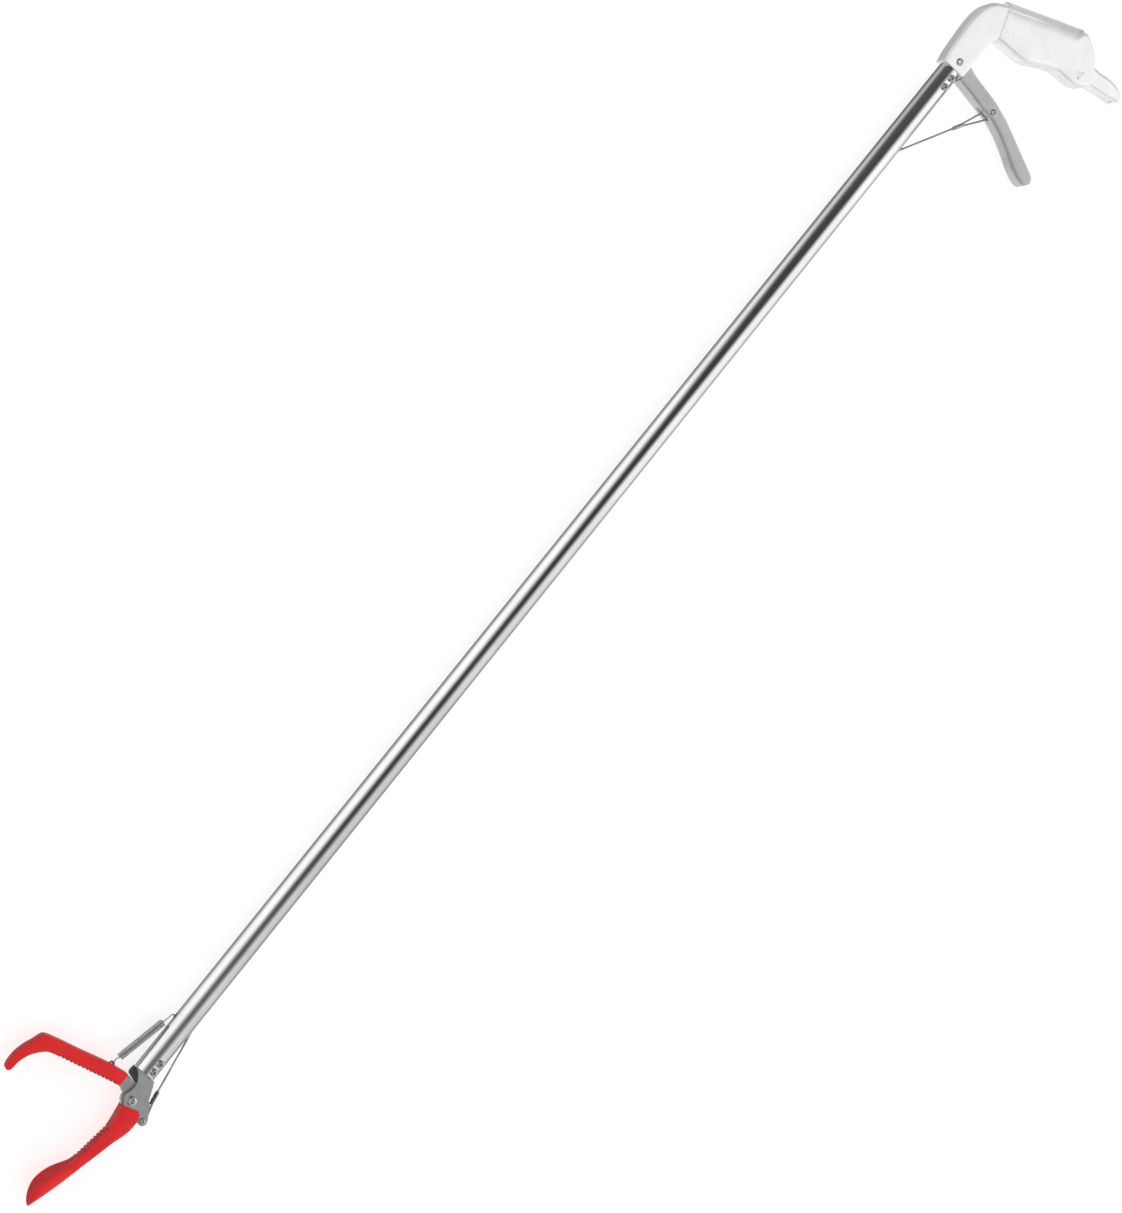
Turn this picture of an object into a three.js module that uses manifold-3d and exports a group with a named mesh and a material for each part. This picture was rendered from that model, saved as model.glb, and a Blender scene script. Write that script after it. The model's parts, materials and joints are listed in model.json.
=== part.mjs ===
// Reacher grabber, 1.2 m: a long round tube with a pistol-grip handle and trigger at one end and
// a fixed and a moving jaw at the other. A steel cable joins the trigger to the moving jaw, and an
// extension spring opens the jaw again.
// Millimetres. The tool lies on its side: +X runs from the jaws to the handle, +Y is the back
// (spring) side, +Z is up. Sub-parts are drawn about the tool's mid-plane, z = 0, and the group
// that holds them lifts the plane by half the width of the scoop. The outer group puts the origin
// under the middle of the tool's box.
import * as THREE from "three";
import { mergeVertices } from "three/addons/utils/BufferGeometryUtils.js";
import Module from "manifold-3d";

// Driving dimensions, mm. Y = 0 is the tube's axis; X = 0 is close to the jaw pivot.
const GAP = 0.3; // left between touching pieces
const TUBE = { start: 20, end: 1020, radius: 9, wall: 1 };
const FORK = { inner: 4.9, outer: 6.3, shankEnd: 44, shankHalfHeight: 4.3 };
const FORK_RIVETS = [24.6, 32.2];
const HANDLE_RIVETS = [1004, 1013];
const RIVET = { y: -1, radius: 1.5, head: 3, headHeight: 1.2 };
const JAW_PIVOT = { x: -1.5, y: -4.5, radius: 2.2, head: 3.8, headHeight: 1.1 };
const TAIL_PIN = { x: -8.5, y: -21.5, radius: 1.5, head: 2.6, headHeight: 0.9 };
const LEVER = { half: 3, hub: 7.4, tail: 3.6, clevisHalf: 1.5, clevisTop: -14.5 };
const SPACER_RADIUS = 5.5;
const UPPER_JAW_HALF = 6.5;
const LOWER_JAW_HALF = 7;
const SCOOP_HALF = 13;
const TOOTH = { pitch: 3.2, depth: 0.9 };
const EYELET = { x: 10.8, y: 23.6, wire: 0.7, radius: 2 };
const SPRING_HOOK = { x: 66.5, y: 10.8 };
const SPRING = { radius: 2.7, bore: 1.6, wire: 0.45, hookGap: 9.5, endTurn: 1.6, holeRadius: 2.3 };
const CABLE = { radius: 0.8, ferrule: 1.6, ferruleLength: 11, innerY: -6.6, innerXs: [98, 900] };
const LOWER_CABLE = { through: [66, -8.5], eyeReach: 13.5, eyeBow: 2.7, length: 90 };
const UPPER_CABLE = { through: [942, -8.5], eyeReach: 24, eyeBow: 3.7, length: 114 };
const LOWER_SLOT = { start: 52, end: 86, half: 2 };
const UPPER_SLOT = { start: 934, end: 950, half: 2 };
const TRIGGER_PIVOT = { x: 1027.5, y: 0, radius: 2, head: 3.2, headHeight: 1 };
const TRIGGER = { outer: 7.7, wall: 1.2 };
const TRIGGER_PIN = { x: 1018, y: -48.5, radius: 1.6, head: 3, headHeight: 0.9 };
const BUSH = { radius: 2.5, half: 6.2 };
const FRAME = { outer: 9.2, wall: 1.2 };
const COVER = { outer: 10.5, wall: 1, cornerRadius: 4.6, backTop: [1095, -1], backFoot: [1122.8, -60] };
const SHANK = { start: 995, length: 26, inner: 6.4, outer: 7.6 };
const ROUND = 24; // sides of a small round piece

const wasm = await Module();
wasm.setup();

const material = (color, roughness, metalness) =>
  new THREE.MeshStandardMaterial({ color, roughness, metalness });
const polished = material(0xc9ccd1, 0.16, 1);
const pressedSteel = material(0xd8dadd, 0.3, 0.9);
const zincSteel = material(0x9da0a4, 0.38, 0.9);
const rivetSteel = material(0xb9bcc0, 0.3, 1);
const darkSteel = material(0x5d6064, 0.45, 0.9);
const ropeSteel = material(0x8c8f93, 0.45, 0.9);
const redPlastic = material(0xd93030, 0.4, 0);

// ---------------------------------------------------------------- solids and booleans

function solid(geometry) {
  const bare = geometry.index ? geometry.toNonIndexed() : geometry.clone();
  bare.deleteAttribute("normal");
  bare.deleteAttribute("uv");
  const merged = mergeVertices(bare, 1e-4);
  return new wasm.Manifold(
    new wasm.Mesh({
      numProp: 3,
      vertProperties: merged.attributes.position.array,
      triVerts: new Uint32Array(merged.index.array),
    }),
  );
}

function geometryOf(manifold) {
  const mesh = manifold.getMesh();
  const positions = new Float32Array(mesh.vertProperties);
  return new THREE.BufferGeometry()
    .setAttribute("position", new THREE.BufferAttribute(positions, 3))
    .setIndex(new THREE.BufferAttribute(new Uint32Array(mesh.triVerts), 1));
}

const union = (...parts) => parts.reduce((sum, part) => sum.add(part));
const cut = (base, ...tools) => tools.reduce((left, tool) => left.subtract(tool), base);

// A flat outline in the XY plane, thickened from z = low to z = high.
function slab(points, low, high) {
  const shape = new THREE.Shape(points.map(([x, y]) => new THREE.Vector2(x, y)));
  const made = new THREE.ExtrudeGeometry(shape, { depth: high - low, bevelEnabled: false });
  return solid(made.translate(0, 0, low));
}

// The same slab, with its long edges chamfered.
function softSlab(points, half, chamfer) {
  const shape = new THREE.Shape(points.map(([x, y]) => new THREE.Vector2(x, y)));
  const made = new THREE.ExtrudeGeometry(shape, {
    depth: 2 * (half - chamfer),
    bevelEnabled: true,
    bevelThickness: chamfer,
    bevelSize: chamfer,
    bevelOffset: -chamfer,
    bevelSegments: 1,
  });
  return solid(made.translate(0, 0, chamfer - half));
}

// A round bar along Z.
function bar(x, y, radius, low, high, sides = ROUND) {
  const made = new THREE.CylinderGeometry(radius, radius, high - low, sides);
  return solid(made.rotateX(Math.PI / 2).translate(x, y, (low + high) / 2));
}

function box(xs, ys, zs) {
  const made = new THREE.BoxGeometry(xs[1] - xs[0], ys[1] - ys[0], zs[1] - zs[0]);
  return solid(
    made.translate((xs[0] + xs[1]) / 2, (ys[0] + ys[1]) / 2, (zs[0] + zs[1]) / 2),
  );
}

// A flat link: two round ends joined by their tangents.
function link(a, radiusA, b, radiusB, low, high) {
  const angle = Math.atan2(b.y - a.y, b.x - a.x);
  const points = [];
  for (const [centre, radius, from] of [
    [a, radiusA, angle + Math.PI / 2],
    [b, radiusB, angle - Math.PI / 2],
  ])
    for (let i = 0; i <= 8; i++) {
      const t = from + (Math.PI * i) / 8;
      points.push([centre.x + radius * Math.cos(t), centre.y + radius * Math.sin(t)]);
    }
  return slab(points, low, high);
}

// A band of constant thickness on the inner (right-hand) side of an open path.
function strip(path, thickness, low, high) {
  const inner = path.map(([x, y], i) => {
    const [ax, ay] = path[Math.max(i - 1, 0)];
    const [bx, by] = path[Math.min(i + 1, path.length - 1)];
    const length = Math.hypot(bx - ax, by - ay);
    return [x + ((by - ay) / length) * thickness, y - ((bx - ax) / length) * thickness];
  });
  return slab([...path, ...inner.reverse()], low, high);
}

// A wire along a smooth curve through points in the mid-plane.
function wire(points, radius, steps, sides = 8) {
  const section = new THREE.Shape();
  for (let i = 0; i < sides; i++) {
    const t = (2 * Math.PI * i) / sides;
    const [x, y] = [radius * Math.cos(t), radius * Math.sin(t)];
    if (i === 0) section.moveTo(x, y);
    else section.lineTo(x, y);
  }
  const curve = new THREE.CatmullRomCurve3(
    points.map(([x, y, z = 0]) => new THREE.Vector3(x, y, z)),
    false,
    "centripetal",
  );
  return solid(new THREE.ExtrudeGeometry(section, { steps, extrudePath: curve }));
}

// A straight round rod between two points in the mid-plane, with an optional bore.
function rod(a, b, radius, bore = 0) {
  const length = Math.hypot(b[0] - a[0], b[1] - a[1]);
  const angle = Math.atan2(b[1] - a[1], b[0] - a[0]) - Math.PI / 2;
  const place = (r, extra) =>
    solid(
      new THREE.CylinderGeometry(r, r, length + extra, bore ? 16 : 12)
        .rotateZ(angle)
        .translate((a[0] + b[0]) / 2, (a[1] + b[1]) / 2, 0),
    );
  return bore ? cut(place(radius, 0), place(bore, 2)) : place(radius, 0);
}

// A pin with a flat head at each end, symmetric about the mid-plane. Reach is half its grip.
function rivet({ x, y, radius, head, headHeight }, reach) {
  return union(
    bar(x, y, radius, -reach - 0.1, reach + 0.1),
    bar(x, y, head, reach, reach + headHeight),
    bar(x, y, head, -reach - headHeight, -reach),
  );
}

// The hole for a pin through plates, with a running gap all round.
const pinHole = ({ x, y, radius }, reach) => bar(x, y, radius + GAP, -reach - 1, reach + 1);

const along = (from, to, distance) => {
  const length = Math.hypot(to[0] - from[0], to[1] - from[1]);
  return [
    from[0] + ((to[0] - from[0]) * distance) / length,
    from[1] + ((to[1] - from[1]) * distance) / length,
  ];
};

// ---------------------------------------------------------------- tube and its ends

function tube() {
  const { start, end, radius, wall } = TUBE;
  const ring = new THREE.LatheGeometry(
    [
      [radius - wall, start],
      [radius, start],
      [radius, end],
      [radius - wall, end],
      [radius - wall, start],
    ].map(([r, x]) => new THREE.Vector2(r, x)),
    48,
  ).rotateZ(-Math.PI / 2);
  const slots = [LOWER_SLOT, UPPER_SLOT].map((slot) =>
    box([slot.start, slot.end], [-radius - 1, -5], [-slot.half, slot.half]),
  );
  const hookHole = solid(
    new THREE.CylinderGeometry(SPRING.holeRadius, SPRING.holeRadius, 8, ROUND).translate(
      SPRING_HOOK.x,
      radius,
      0,
    ),
  );
  const rivetHoles = [...FORK_RIVETS, ...HANDLE_RIVETS].map((x) =>
    pinHole({ ...RIVET, x }, radius),
  );
  return cut(solid(ring), ...slots, hookHole, ...rivetHoles);
}

// One of the two flat plates that carry the jaws. Its shank is riveted inside the tube, its face
// widens to the tube's height round the jaw pivot, and its tang runs inside the lower jaw.
function forkCheek(side) {
  const face = [
    [19.6, 8.6], [18.4, 6.2], [15.4, 3.3], [10.4, 0.6], [5, 0.6], [-1, 2.2],
    [-7.4, -1.8], [-3.6, -15.8], [5, -15], [13, -11.8], [18.6, -9.2], [19.6, -8.6],
  ];
  const h = FORK.shankHalfHeight;
  const shank = [[19, -h], [FORK.shankEnd, -h], [FORK.shankEnd, h], [19, h]];
  const tang = [[-6, -3.6], [-14, -6], [-38, -6.2], [-38, -10], [-20, -12.4], [-4, -14.6]];
  const [low, high] = side > 0 ? [FORK.inner, FORK.outer] : [-FORK.outer, -FORK.inner];
  const plate = union(slab(face, low, high), slab(shank, low, high), slab(tang, low, high));
  const rivetHoles = FORK_RIVETS.map((x) => pinHole({ ...RIVET, x }, FORK.outer));
  return cut(plate, pinHole(JAW_PIVOT, FORK.outer), ...rivetHoles);
}

const tubeRivet = (x) => rivet({ ...RIVET, x }, TUBE.radius + GAP);

// ---------------------------------------------------------------- moving jaw

// The bell crank: a hub on the pivot, a core that runs inside the upper jaw, and a forked tail
// that the cable pulls.
function jawLever() {
  const { half, clevisHalf, clevisTop } = LEVER;
  const hub = bar(JAW_PIVOT.x, JAW_PIVOT.y, LEVER.hub, -half, half, 32);
  const stub = slab(
    [[-1.6, 2], [-5, -3], [4, -8], [6, -4], [10.2, 1.4], [11.4, 6], [10.9, 9.6], [1.6, 9]],
    -half,
    half,
  );
  const core = slab([[2.6, 8.6], [7.6, 8.6], [-1.6, 60], [-6, 59]], -half, half);
  const tail = link(JAW_PIVOT, LEVER.hub - 1.9, TAIL_PIN, LEVER.tail, -half, half);
  return cut(
    union(hub, stub, core, tail),
    box([-20, 10], [-40, clevisTop], [-clevisHalf, clevisHalf]),
    pinHole(JAW_PIVOT, half),
    pinHole(TAIL_PIN, half),
  );
}

// Small gripping teeth cut along a straight edge: from, to and the side that the teeth point to.
function toothed(from, to) {
  const length = Math.hypot(to[0] - from[0], to[1] - from[1]);
  const [ux, uy] = [(to[0] - from[0]) / length, (to[1] - from[1]) / length];
  const count = Math.round(length / TOOTH.pitch);
  const points = [];
  for (let i = 0; i < count; i++) {
    const root = (i * length) / count;
    const tip = ((i + 0.5) * length) / count;
    points.push([from[0] + ux * root, from[1] + uy * root]);
    points.push([
      from[0] + ux * tip - uy * TOOTH.depth,
      from[1] + uy * tip + ux * TOOTH.depth,
    ]);
  }
  return [...points, to];
}

function upperJaw() {
  const outline = [
    [10.6, 9.9], [8.6, 23.6], [2.6, 50.2], [-0.6, 66.7], [-3.2, 76.5], [-4.4, 78.8],
    [-10.8, 81.4], [-18.7, 84.9], [-26.8, 86.6], [-34.4, 86.4], [-37.6, 85.2], [-38.6, 83.2],
    [-37.4, 81.3], [-34.6, 80.7], [-28.8, 80.4], [-20.8, 77.6], [-15.9, 74.2], [-11.2, 69.4],
    [-8.9, 64.6],
    ...toothed([-7.8, 59.4], [1.4, 14]),
    [1.8, 9.9],
  ];
  const pocket = slab(
    [[2.2, 9], [8, 9], [-1.1, 60.6], [-6.6, 59.6]],
    -LEVER.half - GAP,
    LEVER.half + GAP,
  );
  return cut(softSlab(outline, UPPER_JAW_HALF, 1), pocket);
}

// A wire staple on the upper jaw's back that the spring hooks into.
function springEyelet() {
  const { x, y, wire: radius, radius: bow } = EYELET;
  const points = [];
  for (let i = 0; i <= 6; i++) {
    const t = -Math.PI / 2 + (Math.PI * i) / 6;
    points.push([x + bow * 0.9 * Math.cos(t), y + bow * Math.sin(t)]);
  }
  return wire([[x - 1.2, y - bow], ...points, [x - 1.4, y + bow]], radius, 20);
}

// ---------------------------------------------------------------- fixed jaw

// One cross-section of the scoop at x: a shallow bowl with its rim at y = rim, its underside at
// y = base, and the given half width and hollow depth.
function scoopSection({ x, half, rim, base, depth }) {
  const points = [];
  for (let i = 0; i <= 10; i++) {
    const t = (Math.PI * i) / 10;
    const across = Math.sign(Math.cos(t)) * Math.abs(Math.cos(t)) ** 0.7;
    points.push([x, rim - (rim - base) * Math.sin(t) ** 0.8, half * across]);
  }
  for (let i = 0; i <= 8; i++) {
    const s = -1 + i / 4;
    points.push([x, rim - 0.2 - depth * (1 - s * s), half * 0.84 * s]);
  }
  return points;
}

// A closed skin through cross-sections with the same number of points.
function loft(sections) {
  const n = sections[0].length;
  const index = [];
  sections.slice(1).forEach((_, k) => {
    for (let i = 0; i < n; i++) {
      const [a, b] = [k * n + i, k * n + ((i + 1) % n)];
      index.push(a, b, a + n, b, b + n, a + n);
    }
  });
  const last = (sections.length - 1) * n;
  const flat = sections[0].map(([, y, z]) => new THREE.Vector2(z, y));
  const caps = THREE.ShapeUtils.triangulateShape(flat, []);
  const turned = THREE.ShapeUtils.area(flat) < 0;
  for (const [a, b, c] of caps) {
    index.push(...(turned ? [a, b, c] : [c, b, a]));
    index.push(...(turned ? [last + c, last + b, last + a] : [last + a, last + b, last + c]));
  }
  const made = new THREE.BufferGeometry();
  made.setAttribute("position", new THREE.Float32BufferAttribute(sections.flat(2), 3));
  made.setIndex(index);
  const skin = solid(made);
  if (skin.volume() > 0) return skin;
  made.setIndex(index.reverse());
  return solid(made);
}

function scoop() {
  const stations = [
    { x: -54, half: 6.5, rim: -1.4, base: -8.2, depth: 0.3 },
    { x: -60, half: 7, rim: 0.4, base: -6.9, depth: 0.6 },
    { x: -65, half: 8.6, rim: 2.8, base: -5.8, depth: 1.6 },
    { x: -70, half: 10.4, rim: 5.6, base: -4.5, depth: 3.4 },
    { x: -76, half: 12, rim: 8.4, base: -2.9, depth: 5.2 },
    { x: -83, half: SCOOP_HALF, rim: 10.6, base: -0.9, depth: 6.4 },
    { x: -90, half: 12.2, rim: 11.8, base: 1.1, depth: 6 },
    { x: -96, half: 10.2, rim: 11.2, base: 2.8, depth: 4.4 },
    { x: -101, half: 7.4, rim: 9.8, base: 4.2, depth: 2.6 },
    { x: -104.6, half: 4, rim: 7.9, base: 5, depth: 1 },
    { x: -106.4, half: 1.4, rim: 6.4, base: 5.3, depth: 0.2 },
  ];
  return loft(stations.map(scoopSection));
}

function lowerJaw() {
  const outline = [
    [-3.9, -15.2], [-8, -17.6], [-16.4, -18.2], [-22, -17.4], [-30, -14.6], [-46, -10.6],
    [-62, -6.2], [-62, 0.6],
    ...toothed([-58, -0.6], [-27, -4.8]),
    [-20, -3.4], [-12, -1.8], [-7.8, -1.2],
  ];
  const body = union(softSlab(outline, LOWER_JAW_HALF, 0.8), scoop());
  const roomHalf = LEVER.half + 2 * GAP;
  const leverRoom = [
    bar(JAW_PIVOT.x, JAW_PIVOT.y, LEVER.hub + 0.8, -FORK.inner, FORK.inner, 32),
    link(JAW_PIVOT, LEVER.hub + 0.2, TAIL_PIN, LEVER.tail + 2, -roomHalf, roomHalf),
  ];
  const tangRoom = [1, -1].map((side) => {
    const [low, high] = [FORK.inner - GAP, FORK.outer + GAP].map((z) => z * side);
    return slab(
      [[-1, -0.8], [-7.6, -1.2], [-14, -5.6], [-38.5, -5.8], [-38.5, -10.4], [-20, -12.8],
        [-7, -14.7], [-3, -19]],
      Math.min(low, high),
      Math.max(low, high),
    );
  });
  return cut(body, ...leverRoom, ...tangRoom);
}

// ---------------------------------------------------------------- return spring

const EYELET_POINT = [EYELET.x, EYELET.y];
const HOOK_POINT = [SPRING_HOOK.x, SPRING_HOOK.y];
const COIL_TOP = along(HOOK_POINT, EYELET_POINT, SPRING.hookGap);
const COIL_FOOT = along(EYELET_POINT, HOOK_POINT, SPRING.hookGap - 2);

const springCoil = () =>
  rod(
    along(COIL_TOP, COIL_FOOT, SPRING.endTurn + GAP),
    along(COIL_FOOT, COIL_TOP, SPRING.endTurn + GAP),
    SPRING.radius,
    SPRING.bore,
  );

const endTurn = (end, other) =>
  rod(end, along(end, other, SPRING.endTurn), SPRING.radius, SPRING.bore);

// The wire from the coil's top end to the hole in the tube.
function upperHook() {
  const [x, y] = HOOK_POINT;
  const start = along(COIL_TOP, HOOK_POINT, GAP);
  return wire(
    [start, along(COIL_TOP, HOOK_POINT, 5.6), [x - 0.9, y - 0.2], [x, y - 1.4], [x - 0.3, y - 4.6]],
    SPRING.wire,
    20,
  );
}

// The loop from the coil's foot round the eyelet.
function lowerHook() {
  const [x, y] = EYELET_POINT;
  const toward = Math.atan2(HOOK_POINT[1] - y, HOOK_POINT[0] - x);
  const bow = SPRING.wire + EYELET.wire + 2 * GAP;
  const points = [along(COIL_FOOT, EYELET_POINT, GAP)];
  for (let i = 0; i <= 6; i++) {
    const t = toward + 0.5 + (4.2 * i) / 6;
    points.push([x + 2.1 + bow * Math.cos(t), y - 0.2, bow * Math.sin(t)]);
  }
  return wire(points, SPRING.wire, 28);
}

// ---------------------------------------------------------------- cable

// Each end of the cable pulls on a pin: an eye round the pin, a crimped ferrule, then the run
// through the tube's slot.
function pullFrom(pin, [x, y]) {
  const length = Math.hypot(x - pin.x, y - pin.y);
  return [(x - pin.x) / length, (y - pin.y) / length];
}

function fromPin(pin, cable, distance) {
  const pull = pullFrom(pin, cable.through);
  return [pin.x + pull[0] * distance, pin.y + pull[1] * distance];
}

// A rope eye round a pin: two legs that leave the ferrule side by side and a bow round the pin.
function cableEye(pin, cable) {
  const { eyeReach: reach, eyeBow: bow } = cable;
  const pull = pullFrom(pin, cable.through);
  const side = [-pull[1], pull[0]];
  const at = (forward, lateral) => [
    pin.x + pull[0] * forward + side[0] * lateral,
    pin.y + pull[1] * forward + side[1] * lateral,
  ];
  const points = [at(reach, 1.05), at(reach - 1.5, 1.15)];
  for (let i = 0; i <= 8; i++) {
    const t = 1.25 + ((2 * Math.PI - 2.5) * i) / 8;
    points.push(at(bow * Math.cos(t), bow * Math.sin(t)));
  }
  points.push(at(reach - 1.5, -1.15), at(reach, -1.05));
  return wire(points, CABLE.radius, 40);
}

const ferrule = (pin, cable) =>
  rod(
    fromPin(pin, cable, cable.eyeReach + GAP),
    fromPin(pin, cable, cable.eyeReach + CABLE.ferruleLength - GAP),
    CABLE.ferrule,
  );

const cableRun = (pin, cable) =>
  rod(
    fromPin(pin, cable, cable.eyeReach + CABLE.ferruleLength),
    fromPin(pin, cable, cable.length),
    CABLE.radius,
  );

const innerCable = () => rod(...CABLE.innerXs.map((x) => [x, CABLE.innerY]), CABLE.radius);

// ---------------------------------------------------------------- handle

const SPINE = [
  [1021, 10.9], [1030, 12.4], [1045, 13.7], [1060, 14.5], [1070, 14.2], [1078, 12.3],
  [1084.5, 8], [1089.5, 1], [1103, -27], [1110.5, -48], [1111.5, -68], [1107, -86],
  [1108, -97], [1110, -108], [1109, -117], [1105, -123.6], [1100, -125.4],
];
const FRAME_FRONT = [
  [1098.8, -122.5], [1096.6, -111.3], [1093.4, -97], [1086, -74], [1078, -52], [1071, -30],
  [1066.5, -14.5], [1060, -10.6], [1046, -9.6], [1032, -9.8], [1021, -9.6],
];

// The pressed channel: two cheeks, the web along the spine and the back, a shoulder against the
// tube's end and a half-round shank riveted inside the tube.
function handleFrame() {
  const { outer, wall } = FRAME;
  const outline = [...SPINE, ...FRAME_FRONT];
  const cheeks = [
    slab(outline, outer - wall, outer),
    slab(outline, -outer, wall - outer),
  ];
  const web = strip(SPINE, wall, -outer + wall / 2, outer - wall / 2);
  const shoulder = box([1020.4, 1021.6], [-9.4, 10.6], [-outer, outer]);
  const shankShape = new THREE.Shape();
  shankShape.absarc(0, 0, SHANK.outer, -0.6, Math.PI + 0.6, false);
  shankShape.absarc(0, 0, SHANK.inner, Math.PI + 0.6, -0.6, true);
  const extrusion = { depth: SHANK.length, bevelEnabled: false, curveSegments: 16 };
  const shank = solid(
    new THREE.ExtrudeGeometry(shankShape, extrusion).rotateY(Math.PI / 2).translate(SHANK.start, 0, 0),
  );
  const rivetHoles = HANDLE_RIVETS.map((x) => pinHole({ ...RIVET, x }, outer));
  return cut(
    union(...cheeks, web, shoulder, shank),
    pinHole(TRIGGER_PIVOT, outer),
    ...rivetHoles,
  );
}

// The palm cover: a wrapped sheet whose rounded back follows a straight line and whose cheeks
// are cut to the shape of the hand.
function gripCover() {
  const { outer, wall, cornerRadius, backTop, backFoot } = COVER;
  const cheek = [
    [1064.6, -12.4], [1074, -7], [1085, -2.4], [1094.6, -1.6], [1122.2, -60.4], [1123, -66],
    [1120.4, -73], [1116.4, -79.6], [1111.6, -86], [1103.8, -92], [1093, -96.8], [1088.2, -92.8],
    [1084.4, -87], [1082.2, -78], [1081.8, -67], [1075.4, -54], [1069.6, -45], [1067, -38],
    [1066, -26], [1065, -16],
  ];
  const [x, y] = along(backTop, backFoot, -20);
  const direction = Math.atan2(backFoot[1] - backTop[1], backFoot[0] - backTop[0]);
  // A long bar with a rounded back, cut off well beyond the cheeks' outline.
  const round = (half, inset, radius) => {
    const [depth, reach] = [140, -80];
    const shape = new THREE.Shape();
    shape.moveTo(reach, -half);
    shape.lineTo(-radius - inset, -half);
    shape.absarc(-radius - inset, -half + radius, radius, -Math.PI / 2, 0, false);
    shape.absarc(-radius - inset, half - radius, radius, 0, Math.PI / 2, false);
    shape.lineTo(reach, half);
    return solid(
      new THREE.ExtrudeGeometry(shape, { depth, bevelEnabled: false, curveSegments: 6 })
        .rotateY(Math.PI / 2)
        .rotateX(Math.PI / 2)
        .rotateZ(direction)
        .translate(x, y, 0),
    );
  };
  const shell = cut(round(outer, 0, cornerRadius), round(outer - wall, wall, cornerRadius - wall));
  return shell.intersect(slab(cheek, -outer - 1, outer + 1));
}

function trigger() {
  const { outer, wall } = TRIGGER;
  const web = [
    [1018.2, -10.4], [1015.4, -32], [1013.6, -46], [1013.1, -51], [1010.6, -60], [1007, -69],
    [1002.3, -79], [996.8, -89.5], [993.4, -98.5], [992.5, -102.6],
  ];
  const outline = [
    ...web,
    [993.4, -106.4], [996.6, -109], [1000.6, -108.2], [1004.3, -102.4], [1008.3, -92.4],
    [1012.5, -82.6], [1016.8, -71.9], [1021, -61.2], [1023.8, -51.5], [1026.2, -42.3],
    [1027.6, -32], [1029.6, -18.6], [1033, -6], [1033.9, 0], [1032.6, 4], [1029.6, 6.1],
    [1026, 6.2], [1023, 4.4], [1022.2, 0], [1022.2, -9.9],
  ];
  const shoe = union(
    slab(outline, outer - wall, outer),
    slab(outline, -outer, wall - outer),
    strip([...web].reverse(), wall, -outer + wall / 2, outer - wall / 2),
  );
  return cut(
    shoe,
    box([1010, 1017], [-51.4, -37.4], [-2.4, 2.4]),
    pinHole(TRIGGER_PIVOT, outer),
    pinHole(TRIGGER_PIN, outer),
  );
}

// The bush that spreads the cable's pull along its pin.
const cableBush = () =>
  cut(
    bar(TRIGGER_PIN.x, TRIGGER_PIN.y, BUSH.radius, -BUSH.half, BUSH.half),
    pinHole(TRIGGER_PIN, BUSH.half),
  );

// A washer between the lever and one fork plate.
function pivotSpacer(side) {
  const faces = [LEVER.half + GAP, FORK.inner - GAP].map((z) => z * side);
  const washer = bar(JAW_PIVOT.x, JAW_PIVOT.y, SPACER_RADIUS, Math.min(...faces), Math.max(...faces));
  return cut(washer, pinHole(JAW_PIVOT, FORK.inner));
}

// ---------------------------------------------------------------- assembly

const tool = new THREE.Group();
tool.position.z = SCOOP_HALF;

function add(name, manifold, look) {
  const mesh = new THREE.Mesh(geometryOf(manifold), look);
  mesh.name = name;
  tool.add(mesh);
}

add("tube", tube(), polished);
add("fork_cheek_near", forkCheek(1), zincSteel);
add("fork_cheek_far", forkCheek(-1), zincSteel);
add("fork_rivet_front", tubeRivet(FORK_RIVETS[0]), rivetSteel);
add("fork_rivet_rear", tubeRivet(FORK_RIVETS[1]), rivetSteel);
add("jaw_pivot_pin", rivet(JAW_PIVOT, FORK.outer + GAP), rivetSteel);
add("pivot_spacer_near", pivotSpacer(1), zincSteel);
add("pivot_spacer_far", pivotSpacer(-1), zincSteel);
add("lower_jaw", lowerJaw(), redPlastic);
add("jaw_lever", jawLever(), zincSteel);
add("upper_jaw", upperJaw(), redPlastic);
add("spring_eyelet", springEyelet(), darkSteel);
add("tail_pin", rivet(TAIL_PIN, LEVER.half + GAP), rivetSteel);
add("spring_hook_upper", upperHook(), zincSteel);
add("spring_turn_upper", endTurn(COIL_TOP, COIL_FOOT), zincSteel);
add("spring_coil", springCoil(), zincSteel);
add("spring_turn_lower", endTurn(COIL_FOOT, COIL_TOP), zincSteel);
add("spring_hook_lower", lowerHook(), zincSteel);
add("cable_eye_lower", cableEye(TAIL_PIN, LOWER_CABLE), ropeSteel);
add("cable_ferrule_lower", ferrule(TAIL_PIN, LOWER_CABLE), darkSteel);
add("cable_lower", cableRun(TAIL_PIN, LOWER_CABLE), ropeSteel);
add("cable_inner", innerCable(), ropeSteel);
add("cable_upper", cableRun(TRIGGER_PIN, UPPER_CABLE), ropeSteel);
add("cable_ferrule_upper", ferrule(TRIGGER_PIN, UPPER_CABLE), darkSteel);
add("cable_eye_upper", cableEye(TRIGGER_PIN, UPPER_CABLE), ropeSteel);
add("trigger_cable_pin", rivet(TRIGGER_PIN, TRIGGER.outer + GAP), rivetSteel);
add("cable_bush", cableBush(), zincSteel);
add("handle_frame", handleFrame(), pressedSteel);
add("grip_cover", gripCover(), pressedSteel);
add("tube_rivet_front", tubeRivet(HANDLE_RIVETS[0]), rivetSteel);
add("tube_rivet_rear", tubeRivet(HANDLE_RIVETS[1]), rivetSteel);
add("trigger_pivot_pin", rivet(TRIGGER_PIVOT, FRAME.outer + GAP), rivetSteel);
add("trigger", trigger(), pressedSteel);

// The origin sits under the middle of the tool's box.
const reacher = new THREE.Group();
reacher.add(tool);
const extent = new THREE.Box3().setFromObject(reacher);
tool.position.x -= (extent.min.x + extent.max.x) / 2;
tool.position.y -= (extent.min.y + extent.max.y) / 2;
tool.position.z -= extent.min.z;

export default reacher;
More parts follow.
